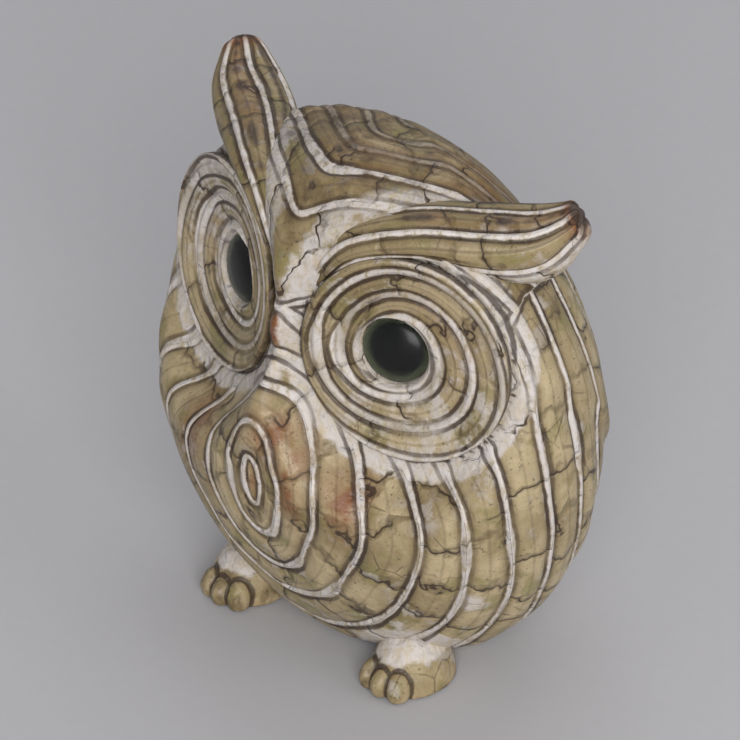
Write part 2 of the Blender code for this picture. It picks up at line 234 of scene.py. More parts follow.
# Camera: the point it looks at, and how far that is moved right and up across its view
CAMERA_AIM = Vector((0.0, 0.0, 0.0542))
AIM_RIGHT = -0.0014
AIM_UP = 0.0026


# --- settings --------------------------------------------------------------

class OwlShape(bpy.types.PropertyGroup):
    """Depth and width of the carving."""

    bead_height: bpy.props.FloatProperty(
        name="Line height", description="Height of the white beads above their grooves",
        default=0.00028, min=0.0, unit="LENGTH")
    bead_width: bpy.props.FloatProperty(
        name="Line width", description="Half width of the white beads",
        default=0.00058, min=0.0001, unit="LENGTH")
    groove_depth: bpy.props.FloatProperty(
        name="Groove depth", description="Depth of the cut on each side of a bead",
        default=0.00035, min=0.0, unit="LENGTH")
    pillow_height: bpy.props.FloatProperty(
        name="Pillow height", description="Swell of the cells between the beads",
        default=0.00055, min=0.0, unit="LENGTH")
    cell_size: bpy.props.FloatProperty(
        name="Cell size", description="Typical distance between the brown cracks",
        default=0.0125, min=0.001, unit="LENGTH")


class OwlPaint(bpy.types.PropertyGroup):
    """Colours of the paint, the eyes and the felt."""

    cell_light: bpy.props.FloatVectorProperty(
        name="Cells, light", description="Palest tan of the cells", subtype="COLOR",
        default=(0.47, 0.375, 0.22), min=0.0, max=1.0)
    cell_dark: bpy.props.FloatVectorProperty(
        name="Cells, dark", description="Olive brown of the cells", subtype="COLOR",
        default=(0.215, 0.155, 0.065), min=0.0, max=1.0)
    crack: bpy.props.FloatVectorProperty(
        name="Cracks", description="Dark brown of cuts and cracks", subtype="COLOR",
        default=(0.036, 0.018, 0.009), min=0.0, max=1.0)
    stain: bpy.props.FloatVectorProperty(
        name="Stain", description="Reddish brown stain", subtype="COLOR",
        default=(0.20, 0.068, 0.018), min=0.0, max=1.0)
    whitewash: bpy.props.FloatVectorProperty(
        name="Whitewash", description="White of the lines and hollows", subtype="COLOR",
        default=(0.59, 0.545, 0.52), min=0.0, max=1.0)
    pupil: bpy.props.FloatVectorProperty(
        name="Pupil", description="Black of the pupils", subtype="COLOR",
        default=(0.006, 0.006, 0.007), min=0.0, max=1.0)
    iris: bpy.props.FloatVectorProperty(
        name="Iris", description="Grey green rim of the eyes", subtype="COLOR",
        default=(0.085, 0.095, 0.055), min=0.0, max=1.0)
    felt: bpy.props.FloatVectorProperty(
        name="Felt", description="Felt of the pads", subtype="COLOR",
        default=(0.035, 0.06, 0.035), min=0.0, max=1.0)


class OwlStage(bpy.types.PropertyGroup):
    """Camera place and view."""

    distance: bpy.props.FloatProperty(
        name="Camera distance", description="Distance from the camera to the owl",
        default=1.5, min=0.3, unit="LENGTH")
    azimuth: bpy.props.FloatProperty(
        name="Azimuth", description="Turn of the camera round the owl",
        default=math.radians(44.0), unit="ROTATION")
    elevation: bpy.props.FloatProperty(
        name="Elevation", description="Angle of the camera above the floor",
        default=math.radians(34.5), unit="ROTATION")
    view_width: bpy.props.FloatProperty(
        name="View width", description="Width of the picture at the owl",
        default=0.148, min=0.02, unit="LENGTH")


# --- numbers on grids ------------------------------------------------------

def bell(value, width):
    """A bell curve: e to the power of minus the square of value over width."""
    return np.exp(-(value / width) ** 2)


def fall_off(distance, spread):
    """One up to distance 0, then e to the power of minus its square over spread."""
    return np.exp(-np.maximum(distance, 0.0) ** 2 / spread)


def share(value, start, width):
    """A straight rise from 0 at start to 1 at start plus width, level outside."""
    return np.clip((value - start) / width, 0.0, 1.0)


def full_turn(count):
    """Even angles round a circle."""
    return np.arange(count) * 2.0 * math.pi / count


def soft_max(a, b, blend):
    """The larger of a and b, plus a parabola where they are within blend of each other."""
    near = np.maximum(blend - np.abs(a - b), 0.0)
    return np.maximum(a, b) + near ** 2 / (4.0 * blend)


def soft_min(a, b, blend):
    """The smaller of a and b, less a parabola where they are within blend of each other."""
    return -soft_max(-a, -b, blend)


def disc_axes(side):
    """Rim centre, outward, up and facing directions of one facial disc.

    The facing direction is the front turned outwards by the splay and up by the tilt.
    """
    out = np.array((
        side * math.sin(DISC_SPLAY) * math.cos(DISC_TILT),
        -math.cos(DISC_SPLAY) * math.cos(DISC_TILT),
        math.sin(DISC_TILT),
    ))
    across = np.array((side * math.cos(DISC_SPLAY), math.sin(DISC_SPLAY), 0.0))
    up = np.cross(out, across) * side
    return DISC_CENTRE * (side, 1.0, 1.0), across, up, out


def disc_polar(points, side):
    """Height over a disc's rim plane and distance from its axis."""
    centre, _, _, out = disc_axes(side)
    offset = points - centre
    height = offset @ out
    radius = np.linalg.norm(offset - height[..., None] * out, axis=-1)
    return height, radius


def face_distance(points, side):
    """Height over a face hollow: a pocket behind the disc, a moat at its rim shaped as a
    bell curve, a flat ledge, then a parabola outwards."""
    height, radius = disc_polar(points, side)
    past = np.maximum(radius - (DISC_RADIUS + LEDGE_WIDTH), 0.0)
    pocket = np.interp(radius, POCKET_RADII, POCKET_DEPTHS)
    moat = MOAT_DEPTH * bell(radius - DISC_RADIUS - MOAT_OFFSET, MOAT_WIDTH)
    rise = height + RIM_PROUD + pocket + moat - FACE_FLARE * past ** 2
    return rise / np.sqrt(1.0 + (2.0 * FACE_FLARE * past) ** 2)


def ellipsoid_distance(points, half_sizes):
    """Near-surface distance outside an ellipsoid: k (k - 1) over the length of p / h squared,
    where k is the length of p / h."""
    scaled = np.linalg.norm(points / half_sizes, axis=-1)
    slope = np.linalg.norm(points / half_sizes ** 2, axis=-1)
    return scaled * (scaled - 1.0) / np.maximum(slope, 1e-9)


def lean(points, angle):
    """Points turned about X by an angle."""
    x, y, z = np.moveaxis(points, -1, 0)
    return np.stack([x, y * math.cos(angle) - z * math.sin(angle),
                     y * math.sin(angle) + z * math.cos(angle)], axis=-1)


def beak_distance(points):
    """Distance outside a slim ellipsoid between the discs, hooked forward at its foot."""
    return ellipsoid_distance(lean(points - BEAK_CENTRE, BEAK_LEAN), BEAK_HALF_SIZES)


def collar_distance(points, side):
    """A cone round a disc's rim that widens backwards until it meets the egg."""
    height, radius = disc_polar(points, side)
    outside = radius - DISC_RADIUS - COLLAR_WIDTH - COLLAR_FLARE * np.maximum(-height, 0.0)
    return soft_max(outside, height + COLLAR_DROP, COLLAR_EDGE_BLEND)


def body_distance(points):
    """The egg with both collars, cut back by the face hollows, with the beak on the ridge."""
    egg = ellipsoid_distance(lean(points - EGG_CENTRE, -EGG_LEAN), EGG_HALF_SIZES)
    for side, _ in SIDES:
        egg = soft_min(egg, collar_distance(points, side), COLLAR_BLEND)
    faces = soft_max(face_distance(points, 1), face_distance(points, -1), RIDGE_BLEND)
    return soft_min(soft_max(egg, faces, FACE_BLEND), beak_distance(points), BEAK_BLEND)


def cast_rays(distance, start, rays, steps=26):
    """Points where rays leave a shape: each ray is halved towards distance zero."""
    low = np.zeros(rays.shape[:-1])
    high = np.ones(rays.shape[:-1])
    for _ in range(steps):
        middle = (low + high) / 2
        outside = distance(start + rays * middle[..., None]) > 0.0
        high = np.where(outside, middle, high)
        low = np.where(outside, low, middle)
    return start + rays * high[..., None]


def grid_steps(points):
    """Differences along the rows and round the closed columns of a grid."""
    along = np.gradient(points, axis=0)
    around = (np.roll(points, -1, axis=1) - np.roll(points, 1, axis=1)) / 2
    return along, around


def egg_normals(points):
    """Outward directions of the egg's family of ellipsoids: p over h squared, made unit."""
    normals = lean(lean(points - EGG_CENTRE, -EGG_LEAN) / EGG_HALF_SIZES ** 2, EGG_LEAN)
    return normals / np.maximum(np.linalg.norm(normals, axis=-1), 1e-9)[..., None]


def grid_normals(points, inside):
    """Unit cross products of the grid's two steps, turned away from a point inside."""
    along, around = grid_steps(points)
    normals = np.cross(along, around)
    normals /= np.maximum(np.linalg.norm(normals, axis=-1), 1e-9)[..., None]
    away = np.sign(np.sum(normals * (points - inside), axis=-1).sum())
    return normals * away


def line_spacing(points, phase):
    """Millimetres for one unit of phase: one over the phase's slope on the surface.

    With E, F, G the products of the grid's steps and a, b the phase's steps, the slope
    squared is (a a G - 2 a b F + b b E) / (E G - F F).
    """
    along, around = grid_steps(points)
    a = np.gradient(phase, axis=0)
    turn = np.roll(phase, -1, axis=1) - np.roll(phase, 1, axis=1)
    b = (turn - np.round(turn)) / 2
    e = np.sum(along * along, axis=-1)
    f = np.sum(along * around, axis=-1)
    g = np.sum(around * around, axis=-1)
    slope = (a * a * g - 2 * a * b * f + b * b * e) / np.maximum(e * g - f * f, 1e-12)
    return np.clip(1.0 / np.sqrt(np.maximum(slope, 1e-9)), 0.3, 60.0)


def line_distance(phase, spacing):
    """Distance to the nearest line: how far phase is from a whole number, times spacing."""
    return np.abs(phase - np.round(phase)) * spacing


def relief(distance, shape, strength=1.0):
    """Carving against distance from a line: a bead, a groove beside it and a pillow beyond.

    Each is a bell curve; the pillow is one less a bell curve.
    """
    bead = shape.bead_height / MM * bell(distance, shape.bead_width / MM)
    groove = shape.groove_depth / MM * bell(distance - GROOVE_OFFSET, GROOVE_WIDTH)
    pillow = shape.pillow_height / MM * (1.0 - bell(distance, PILLOW_WIDTH))
    return strength * (bead - groove + pillow)


def waves(x, y, z, size):
    """Smooth unevenness: products of sines with unrelated periods about size apart."""
    k = 2.0 * math.pi / size
    return (np.sin(k * x + 1.3) * np.sin(k * 0.83 * y + 0.7)
            + np.sin(k * 0.71 * y + 2.1) * np.sin(k * 0.93 * z + 0.2)
            + np.sin(k * 0.64 * z + 4.0) * np.sin(k * 0.57 * x + 3.1)) / 3.0


def smooth_path(rows, count):
    """Catmull-Rom curve through rows, at count even steps of the row number."""
    rows = np.asarray(rows, float)
    padded = np.vstack([2 * rows[0] - rows[1], rows, 2 * rows[-1] - rows[-2]])
    place = np.linspace(0.0, len(rows) - 1.0, count)
    index = np.minimum(place.astype(int), len(rows) - 2)
    t = (place - index)[:, None]
    a, b, c, d = (padded[index + k] for k in range(4))
    return 0.5 * (2 * b + (c - a) * t + (2 * a - 5 * b + 4 * c - d) * t ** 2
                  + (3 * b - a - 3 * c + d) * t ** 3)


# --- meshes ----------------------------------------------------------------

def surface(name, points, carving=None, values=None, first=None, last=None):
    """A closed-round grid as a mesh: rows by columns of points, with a fan to each pole.

    carving holds two line phases and two lengths along the lines for every row and column,
    with one column more than points so that they may run on past the seam. values are
    named numbers per point.
    """
    rows, cols = points.shape[:2]
    if carving is None:
        carving = np.full((rows, cols + 1, 4), 0.5)
    r, c = np.meshgrid(np.arange(rows - 1), np.arange(cols), indexing="ij")
    n = (c + 1) % cols
    quads = np.stack([r * cols + c, r * cols + n, (r + 1) * cols + n, (r + 1) * cols + c], axis=-1)
    corners = np.stack([carving[:-1, :-1], carving[:-1, 1:], carving[1:, 1:],
                        carving[1:, :-1]], axis=-2)
    vertices = [points.reshape(-1, 3)]
    columns = np.arange(cols)
    after = (columns + 1) % cols
    fans, fan_corners = [], []
    for pole, row, order in ((first, 0, (0, 2, 1)), (last, rows - 1, (0, 1, 2))):
        if pole is None:
            continue
        vertices.append(np.array(pole, float)[None])
        index = np.full(cols, rows * cols + len(vertices) - 2)
        fan = np.stack([index, row * cols + columns, row * cols + after], axis=-1)
        middle = (carving[row, :-1] + carving[row, 1:]) / 2
        fan_uv = np.stack([middle, carving[row, :-1], carving[row, 1:]], axis=-2)
        fans.append(fan[:, order])
        fan_corners.append(fan_uv[:, order])
    vertices = np.vstack(vertices)
    quads = quads.reshape(-1, 4)
    corners = corners.reshape(-1, 4, 4)
    fans = np.vstack(fans) if fans else np.zeros((0, 3), int)
    fan_corners = np.vstack(fan_corners) if fan_corners else np.zeros((0, 3, 4))
    triangles = np.vstack([quads[:, [0, 1, 2]], quads[:, [0, 2, 3]], fans])
    a, b, c = (vertices[triangles[:, k]] for k in range(3))
    if np.sum(a * np.cross(b, c)) < 0.0:
        quads, corners = quads[:, ::-1], corners[:, ::-1]
        fans, fan_corners = fans[:, ::-1], fan_corners[:, ::-1]
    mesh = bpy.data.meshes.new(name)
    mesh.from_pydata((vertices * MM).tolist(), [], quads.tolist() + fans.tolist())
    for key, pair in (("Carving", slice(0, 2)), ("Along", slice(2, 4))):
        layer = mesh.uv_layers.new(name=key)
        flat = np.concatenate([corners[..., pair].ravel(), fan_corners[..., pair].ravel()])
        layer.data.foreach_set("uv", flat)
    for key, array in (values or {}).items():
        extra = [array[row].mean(keepdims=True)
                 for pole, row in ((first, 0), (last, rows - 1)) if pole is not None]
        attribute = mesh.attributes.new(key, "FLOAT", "POINT")
        attribute.data.foreach_set("value", np.concatenate([array.ravel(), *extra]))
    mesh.shade_smooth()
    made = bpy.data.objects.new(name, mesh)
    bpy.context.scene.collection.objects.link(made)
    return made


def capped(name, points, carving=None, values=None):
    """A surface whose poles are the middles of its first and last rows."""
    return surface(name, points, carving, values, points[0].mean(axis=0), points[-1].mean(axis=0))


def past_seam(columns, gain=0.0):
    """Columns with the first one again at the end, raised by gain."""
    return np.concatenate([columns, columns[:, :1] + gain], axis=1)


def band_lengths(points, phase):
    """Length round the ring in the middle of each row's band, from the seam and back to it."""
    steps = np.linalg.norm(np.roll(points, -1, axis=1) - points, axis=-1)
    lengths = np.concatenate([np.zeros((len(points), 1)), np.cumsum(steps, axis=1)], axis=1)
    middle = np.abs(phase[None, :] - (np.floor(phase) + 0.5)[:, None]).argmin(axis=1)
    return lengths[middle]


def paint_values(like, **given):
    """Every number that the paint reads for a grid of points, with its default if not given."""
    return {key: np.broadcast_to(given.get(key, value), like.shape)
            for key, value in PAINT_DEFAULTS.items()}


def turned_rows(profile, cols):
    """Rows of a turned solid: each (radius, height) point becomes a ring about Z."""
    profile = np.asarray(profile, float)
    turn = full_turn(cols)
    ring = np.stack([np.cos(turn), np.sin(turn), np.zeros(cols)], axis=-1)
    return profile[:, None, :1] * ring + profile[:, None, 1:] * np.array((0.0, 0.0, 1.0))


def settle(piece, finish, slot, *nodes):
    """Paint the piece, set it riding on the owl and hide the nodes it stands for."""
    piece.data.materials.append(finish)
    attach(piece, BODY)
    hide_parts(*nodes)


# --- shader nodes ----------------------------------------------------------

def feed(tree, node, inputs):
    """Link or set the inputs of a node."""
    for key, value in inputs.items():
        if isinstance(value, bpy.types.NodeSocket):
            tree.links.new(value, node.inputs[key])
        else:
            node.inputs[key].default_value = value


def add(tree, kind, inputs=None, **settings):
    """A node with its settings, and its inputs linked or set."""
    made = tree.nodes.new(kind)
    for key, value in settings.items():
        setattr(made, key, value)
    feed(tree, made, inputs or {})
    return made


def maths(tree, operation, *values, clamp=False):
    """Output of a Math node."""
    return add(tree, "ShaderNodeMath", dict(enumerate(values)),
               operation=operation, use_clamp=clamp).outputs[0]


def plus(tree, a, b):
    """The sum of two numbers."""
    return maths(tree, "ADD", a, b)


def times(tree, a, b):
    """The product of two numbers."""
    return maths(tree, "MULTIPLY", a, b)


def centred(tree, value, gain):
    """Value less a half, times gain."""
    return times(tree, maths(tree, "SUBTRACT", value, 0.5), gain)


def apart(tree, a, b):
    """How far two numbers are apart."""
    return maths(tree, "ABSOLUTE", maths(tree, "SUBTRACT", a, b))


def ramp(tree, value, start, end, low=0.0, high=1.0):
    """Smooth rise from low at start to high at end."""
    made = add(tree, "ShaderNodeMapRange", {
        "Value": value, "From Min": start, "From Max": end, "To Min": low, "To Max": high,
    }, interpolation_type="SMOOTHSTEP")
    return made.outputs["Result"]


def mix(tree, factor, a, b):
    """Colour a turning into b as factor rises."""
    return add(tree, "ShaderNodeMix", {0: factor, 6: a, 7: b}, data_type="RGBA").outputs[2]


def noise(tree, vector, size, detail=3.0, roughness=0.55, distortion=0.0):
    """Noise with features about size metres across."""
    return add(tree, "ShaderNodeTexNoise", {
        "Vector": vector, "Scale": 1.0 / size, "Detail": detail,
        "Roughness": roughness, "Distortion": distortion,
    }).outputs["Fac"]


def group_tree(name, inputs, outputs):
    """An empty shader group, its input sockets and its output node.

    inputs holds the number sockets' defaults by name, or None for a vector; outputs names
    the number sockets that come out.
    """
    tree = bpy.data.node_groups.new(name, "ShaderNodeTree")
    for label, default in inputs.items():
        kind = "NodeSocketVector" if default is None else "NodeSocketFloat"
        socket = tree.interface.new_socket(label, in_out="INPUT", socket_type=kind)
        if default is not None:
            socket.default_value = default
    for label in outputs:
        tree.interface.new_socket(label, in_out="OUTPUT", socket_type="NodeSocketFloat")
    return tree, tree.nodes.new("NodeGroupInput").outputs, tree.nodes.new("NodeGroupOutput")


def carved_lines_group():
    """Distance to the nearest carved line in millimetres, a number for each band, the
    distance to the band's middle and the length along the band."""
    tree, given, result = group_tree(
        "Carved lines",
        {"Carving": None, "Along": None, "Spacing": 10.0, "Cap spacing": 10.0, "Cap": -99.0},
        ("Distance", "Band", "Middle", "Length"))
    phases = add(tree, "ShaderNodeSeparateXYZ", {0: given["Carving"]}).outputs
    lengths = add(tree, "ShaderNodeSeparateXYZ", {0: given["Along"]}).outputs
    in_cap = maths(tree, "GREATER_THAN", given["Cap"], 0.0)
    phase, spacing, length = (
        add(tree, "ShaderNodeMix", {0: in_cap, 2: ring, 3: cap}).outputs[0]
        for ring, cap in ((phases["X"], phases["Y"]), (given["Spacing"], given["Cap spacing"]),
                          (lengths["X"], lengths["Y"])))
    distance = times(tree, apart(tree, phase, maths(tree, "ROUND", phase)), spacing)
    border = plus(tree, maths(tree, "ABSOLUTE", given["Cap"]), 0.5)
    middle = times(tree, apart(tree, maths(tree, "FRACT", phase), 0.5), spacing)
    band = plus(tree, maths(tree, "FLOOR", phase), times(tree, in_cap, 31.0))
    feed(tree, result, {"Distance": maths(tree, "MINIMUM", distance, border), "Band": band,
                        "Middle": middle, "Length": length})
    return tree


def cracked_cells_group():
    """Bands broken across into cells by thin cracks: one-dimensional Voronoi along the band,
    bent by noise, so that a crack keeps its width and crosses from line to line."""
    tree, given, result = group_tree(
        "Cracked cells", {"Vector": None, "Band": 0.0, "Length": 0.0, "Size": 10.0},
        ("Crack", "Distance", "Tone", "Craze"))
    vector, size = given["Vector"], given["Size"]
    bend = centred(tree, noise(tree, vector, 0.011, 3.0), 22.0)
    place = maths(tree, "DIVIDE", plus(tree, given["Length"], bend), size)
    place = plus(tree, place, times(tree, given["Band"], 17.31))
    edges, cells = (
        add(tree, "ShaderNodeTexVoronoi", {"W": place, "Scale": 1.0, "Randomness": 1.0},
            voronoi_dimensions="1D", feature=feature) for feature in ("DISTANCE_TO_EDGE", "F1"))
    tone = add(tree, "ShaderNodeSeparateColor", {0: cells.outputs["Color"]})
    distance = times(tree, edges.outputs["Distance"], size)
    thin = ramp(tree, distance, 0.10, 0.46, 1.0, 0.0)
    crack = times(tree, thin, ramp(tree, noise(tree, vector, 0.011), 0.40, 0.52))
    craze = add(tree, "ShaderNodeTexVoronoi",
                {"Vector": vector, "Scale": 120.0, "Randomness": 1.0}, feature="DISTANCE_TO_EDGE")
    fine = times(tree, ramp(tree, craze.outputs["Distance"], 0.008, 0.028, 1.0, 0.0),
                 ramp(tree, noise(tree, vector, 0.012), 0.50, 0.62))
    feed(tree, result, {"Crack": crack, "Distance": distance, "Tone": tone.outputs[0],
                        "Craze": fine})
    return tree


def paint_grain_group():
    """Brushed and pitted paint: patches, mottle, streaks, specks and fine grain."""
    tree, given, result = group_tree("Paint grain", {"Vector": None},
                                     ("Patch", "Mottle", "Streak", "Speck", "Fine"))
    vector = given["Vector"]
    stretched = add(tree, "ShaderNodeMapping", {"Vector": vector, "Scale": (1.0, 1.0, 0.4)})
    feed(tree, result, {
        "Patch": noise(tree, vector, 0.017, 3.0),
        "Mottle": noise(tree, vector, 0.0042, 5.0, 0.62),
        "Streak": noise(tree, stretched.outputs[0], 0.0016, 4.0, 0.6, 0.4),
        "Speck": ramp(tree, noise(tree, vector, 0.0008, 2.0), 0.62, 0.74),
        "Fine": noise(tree, vector, 0.0005, 3.0),
    })
    return tree


def groups():
    """The shared groups, made once."""
    makers = {
        "Carved lines": carved_lines_group,
        "Cracked cells": cracked_cells_group,
        "Paint grain": paint_grain_group,
    }
    return {name: bpy.data.node_groups.get(name) or make() for name, make in makers.items()}


def empty_material(name):
    """A node material with its tree, its Principled shader and the place on the object."""
    made = bpy.data.materials.new(name)
    made.use_nodes = True
    tree = made.node_tree
    place = add(tree, "ShaderNodeTexCoord").outputs["Object"]
    return made, tree, tree.nodes["Principled BSDF"], place


def use_group(tree, name, inputs):
    """Outputs of a shared group with its inputs linked or set."""
    return add(tree, "ShaderNodeGroup", inputs, node_tree=groups()[name]).outputs


def carved_paint(name, shape, paint, cell_scale=1.0, middle_line=0.2, dark=0.0):
    """Antique paint on carving: white beads, dark cuts, cracked tan cells, stains and wash."""
    made, tree, shader, place = empty_material(name)
    value = {key: add(tree, "ShaderNodeAttribute", attribute_name=key).outputs["Fac"]
             for key in PAINT_DEFAULTS}
    line = use_group(tree, "Carved lines", {
        "Carving": add(tree, "ShaderNodeUVMap", uv_map="Carving").outputs["UV"],
        "Along": add(tree, "ShaderNodeUVMap", uv_map="Along").outputs["UV"],
        "Spacing": value["spacing"], "Cap spacing": value["cap_spacing"], "Cap": value["cap"]})
    cell = use_group(tree, "Cracked cells", {
        "Vector": place, "Band": line["Band"], "Length": line["Length"],
        "Size": shape.cell_size * cell_scale / MM})
    grain = use_group(tree, "Paint grain", {"Vector": place})
    patch, mottle, streak = grain["Patch"], grain["Mottle"], grain["Streak"]
    light, deep, crack, stain, white = (
        (*colour, 1.0) for colour in (paint.cell_light, paint.cell_dark, paint.crack,
                                      paint.stain, paint.whitewash))

    # beads swell where the wash is thick and in a few loose strokes
    loose = ramp(tree, noise(tree, place, 0.024, 1.0), 0.56, 0.72, 0.0, 0.75)
    spread = plus(tree, loose, times(tree, value["wash"], 0.5))
    distance = plus(tree, line["Distance"], centred(tree, mottle, 0.9))
    to_bead = maths(tree, "SUBTRACT", distance, spread)

    # cells: tan to olive, browner towards the cuts and the cracks
    tone = plus(tree, times(tree, cell["Tone"], 0.45), centred(tree, patch, 1.5))
    tone = plus(tree, tone, centred(tree, mottle, 1.3))
    tone = plus(tree, tone, ramp(tree, value["cap"], -1.0, 3.0, 0.0, 0.5))
    colour = mix(tree, ramp(tree, tone, -0.25, 0.85, dark, 1.0), light, deep)
    olive = tuple(0.5 * a * b for a, b in zip(light, (0.95, 1.02, 0.62, 2.0)))
    cloud = ramp(tree, noise(tree, place, 0.008, 3.0), 0.52, 0.64, 0.0, 0.7)
    colour = mix(tree, cloud, colour, olive)
    edge = maths(tree, "MINIMUM", distance, plus(tree, cell["Distance"], 0.75))
    shade = ramp(tree, plus(tree, edge, centred(tree, mottle, 1.2)), 0.7, 3.0, 0.62, 0.0)
    colour = mix(tree, shade, colour, tuple(0.5 * (a + b) for a, b in zip(deep, crack)))
    red = maths(tree, "MULTIPLY", value["stain"], ramp(tree, mottle, 0.36, 0.6, 0.45, 1.0),
                clamp=True)
    colour = mix(tree, red, colour, stain)
    rub = times(tree, ramp(tree, patch, 0.5, 0.66), ramp(tree, mottle, 0.5, 0.62))
    colour = mix(tree, times(tree, rub, 0.42), colour, white)
    for marks, strength in ((grain["Speck"], 0.5), (cell["Craze"], 0.45)):
        colour = mix(tree, times(tree, marks, strength), colour, crack)
    mid = times(tree, ramp(tree, line["Middle"], 0.14, 0.42, 1.0, 0.0), middle_line)
    cut = maths(tree, "MAXIMUM", mid, times(tree, cell["Crack"], 0.9))
    colour = mix(tree, cut, colour, crack)

    # whitewash in the hollows, then the dark cuts beside the beads, then the beads
    haze = plus(tree, value["wash"], centred(tree, mottle, 1.0))
    haze = maths(tree, "SUBTRACT", haze, times(tree, cut, 0.25))
    haze = ramp(tree, haze, 0.38, 0.66, 0.0, 0.9)
    smudge = mix(tree, ramp(tree, streak, 0.25, 0.62, 0.7, 0.0), white, light)
    smudge = mix(tree, ramp(tree, mottle, 0.55, 0.70, 0.0, 0.3), smudge, deep)
    colour = mix(tree, haze, colour, smudge)
    beside = times(tree, ramp(tree, apart(tree, to_bead, 1.0), 0.22, 0.62, 1.0, 0.0),
                   ramp(tree, patch, 0.34, 0.62, 0.2, 0.9))
    colour = mix(tree, beside, colour, crack)
    bead = ramp(tree, to_bead, 0.38, 0.72, 1.0, 0.0)
    worn = times(tree, ramp(tree, streak, 0.28, 0.50, 0.45, 1.0),
                 ramp(tree, patch, 0.30, 0.42, 0.6, 1.0))
    worn = times(tree, worn, value["fade"])
    colour = mix(tree, times(tree, bead, worn), colour, smudge)
    # darker towards the crack colour where the dark value is high: dark paint lines, and painted
    # shade in the gaps round the discs
    dark_paint_and_shade = plus(tree, value["dark"], centred(tree, mottle, 0.9))
    colour = mix(tree, ramp(tree, dark_paint_and_shade, 0.3, 0.7, 0.0, 0.85), colour, crack)

    rough = plus(tree, ramp(tree, mottle, 0.3, 0.7, 0.34, 0.58), times(tree, haze, 0.12))
    height = times(tree, cut, -0.00035)
    for socket, gain in (
            (ramp(tree, cell["Distance"], 0.0, 2.2), 0.0004), (mottle, 0.0006),
            (streak, 0.00018), (grain["Fine"], 0.00007), (bead, 0.00012), (haze, 0.00012),
            (grain["Speck"], -0.0001), (cell["Craze"], -0.00008)):
        height = plus(tree, height, times(tree, socket, gain))
    bump = add(tree, "ShaderNodeBump", {"Height": height, "Strength": 0.9, "Distance": 1.0})
    feed(tree, shader, {
        "Base Color": colour, "Roughness": rough, "Normal": bump.outputs[0],
        "Specular IOR Level": 0.45, "Coat Weight": 0.12, "Coat Roughness": 0.3})
    return made


def eye_paint(paint):
    """Painted eye: black pupil, then a grey green rim streaked outwards."""
    made, tree, shader, place = empty_material("Eye paint")
    radius = add(tree, "ShaderNodeAttribute", attribute_name="radius").outputs["Fac"]
    uneven = centred(tree, noise(tree, place, 0.0012), 0.8)
    rim = ramp(tree, plus(tree, radius, uneven), PUPIL_RADIUS - 0.5, PUPIL_RADIUS + 0.9)
    feed(tree, shader, {
        "Base Color": mix(tree, rim, (*paint.pupil, 1.0), (*paint.iris, 1.0)),
        "Roughness": 0.6, "Specular IOR Level": 0.1})
    return made


def eye_glass_material():
    """Clear glass, softly polished, tinted a little green in clouds."""
    made, tree, shader, place = empty_material("Eye glass")
    cloud = noise(tree, place, 0.004, 1.0)
    feed(tree, shader, {
        "Base Color": mix(tree, cloud, (0.93, 0.97, 0.95, 1.0), (0.85, 0.93, 0.90, 1.0)),
        "Roughness": 0.28, "IOR": 1.33, "Specular IOR Level": 0.2, "Transmission Weight": 1.0})
    return made


def felt_material(paint):
    """Pressed felt: tangled fibres that show as fine light and dark flecks."""
    made, tree, shader, place = empty_material("Green felt")
    fibre = noise(tree, place, 0.0004, 6.0, 0.75, 2.0)
    pale = (*[min(1.0, c * 3.0 + 0.01) for c in paint.felt], 1.0)
    bump = add(tree, "ShaderNodeBump", {"Height": fibre, "Strength": 0.6, "Distance": 0.0003})
    feed(tree, shader, {
        "Base Color": mix(tree, ramp(tree, fibre, 0.35, 0.7), (*paint.felt, 1.0), pale),
        "Normal": bump.outputs[0], "Roughness": 0.95, "Sheen Weight": 0.4})
    return made


def plug_material():
    """Dusty pale rubber."""
    made, tree, shader, place = empty_material("Plug rubber")
    dust = noise(tree, place, 0.002, 4.0)
    feed(tree, shader, {
        "Base Color": mix(tree, dust, (0.62, 0.62, 0.60, 1.0), (0.45, 0.44, 0.42, 1.0)),
        "Roughness": ramp(tree, dust, 0.2, 0.8, 0.55, 0.8)})
    return made


def floor_material():
    """Pale grey paper sweep."""
    made, tree, shader, place = empty_material("Pale paper")
    fibre = noise(tree, place, 0.003, 4.0)
    feed(tree, shader, {
        "Base Color": mix(tree, fibre, (0.475, 0.470, 0.485, 1.0), (0.50, 0.495, 0.51, 1.0)),
        "Roughness": 0.9, "Specular IOR Level": 0.1})
    return made


# --- body ------------------------------------------------------------------

def ring_rows():
    """Row angles from the belly to the back: each band's rows crowd towards its lines.

    Even steps t become t less a sine of one full turn.
    """
    rows = []
    for low, high in zip(RING_STOPS, RING_STOPS[1:]):
        count = max(FEWEST_ROWS, int(round((high - low) * ROWS_PER_DEGREE)))
        t = np.arange(count) / count
        rows.append(low + (high - low) * (t - ROW_CROWDING * np.sin(2 * math.pi * t)))
    return np.concatenate(rows)[1:]


